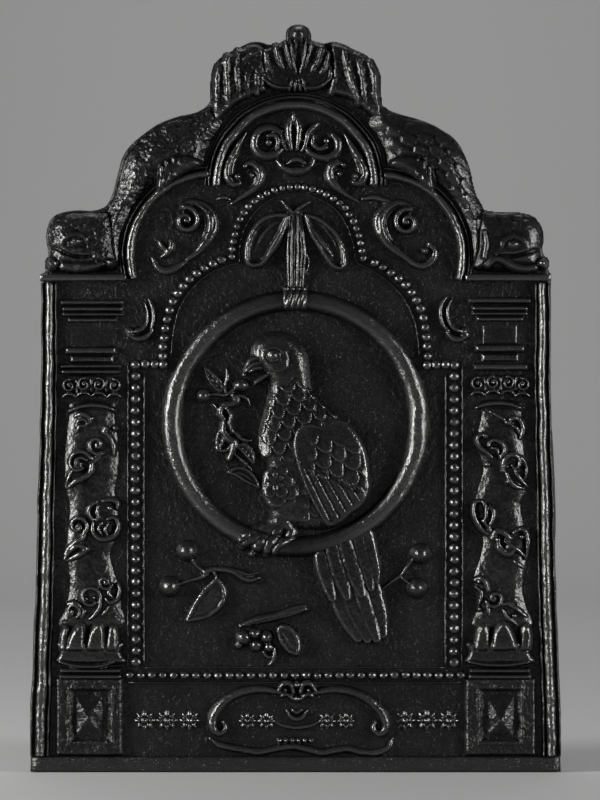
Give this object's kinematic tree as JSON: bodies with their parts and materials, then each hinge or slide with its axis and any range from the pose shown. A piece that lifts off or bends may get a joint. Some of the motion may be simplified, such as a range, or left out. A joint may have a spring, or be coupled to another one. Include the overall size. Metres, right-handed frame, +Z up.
{
  "type": "fireback",
  "caption": "Arched cast-iron fireback plate with a parrot in a hoop, pilasters, bead border, dolphins and shell crest in relief; flat back, stands on its foot.",
  "frame": {"origin": "under the middle of the foot, on the surface that the plate stands on", "axes": "+Z up, -Y out of the ornamented front face, +Y out of the flat back, +X to the viewer's right"},
  "size_m": [0.531, 0.041, 0.748],
  "materials": {
    "plate": "blackened as-cast ground",
    "relief": "blackened cast relief, rubbed to a satin sheen on its high points"
  },
  "bodies": {
    "root": {"back_plate": "plate", "foot_rail": "plate", "edge_moulding_left": "relief", "edge_moulding_right": "relief", "top_arch": "relief", "shoulder_arch_left": "relief", "shoulder_arch_right": "relief", "cornice_left": "relief", "cornice_right": "relief", "dolphin_left": "relief", "dolphin_right": "relief", "crest_shell": "relief", "tail_fin_left": "relief", "tail_fin_right": "relief", "palmette": "relief", "tympanum_scroll_left": "relief", "tympanum_scroll_right": "relief", "shoulder_scroll_left": "relief", "shoulder_scroll_right": "relief", "console_leaf_left": "relief", "console_leaf_right": "relief", "bead_row": "relief", "bead_column_left": "relief", "bead_column_right": "relief", "bead_canopy": "relief", "hoop": "relief", "ribbon_tie": "relief", "ribbon_bow": "relief", "parrot_wing": "relief", "parrot_body": "relief", "parrot_feet": "relief", "parrot_tail": "relief", "cherry_branch": "relief", "cherry_sprig_left": "relief", "cherry_sprig_right": "relief", "fruit_ornament": "relief", "pedestal_left": "relief", "pedestal_right": "relief", "diamond_boss_left": "relief", "diamond_boss_right": "relief", "column_shaft_left": "relief", "column_shaft_right": "relief", "column_base_left": "relief", "column_base_right": "relief", "capital_left": "relief", "capital_right": "relief", "column_neck_left": "relief", "column_neck_right": "relief", "entablature_left": "relief", "entablature_right": "relief", "foliage_top_left": "relief", "foliage_top_right": "relief", "foliage_middle_left": "relief", "foliage_middle_right": "relief", "foliage_bottom_left": "relief", "foliage_bottom_right": "relief", "cartouche": "relief", "cartouche_rosettes": "relief", "base_rosettes_left": "relief", "base_rosettes_right": "relief"}
  },
  "joints": []
}
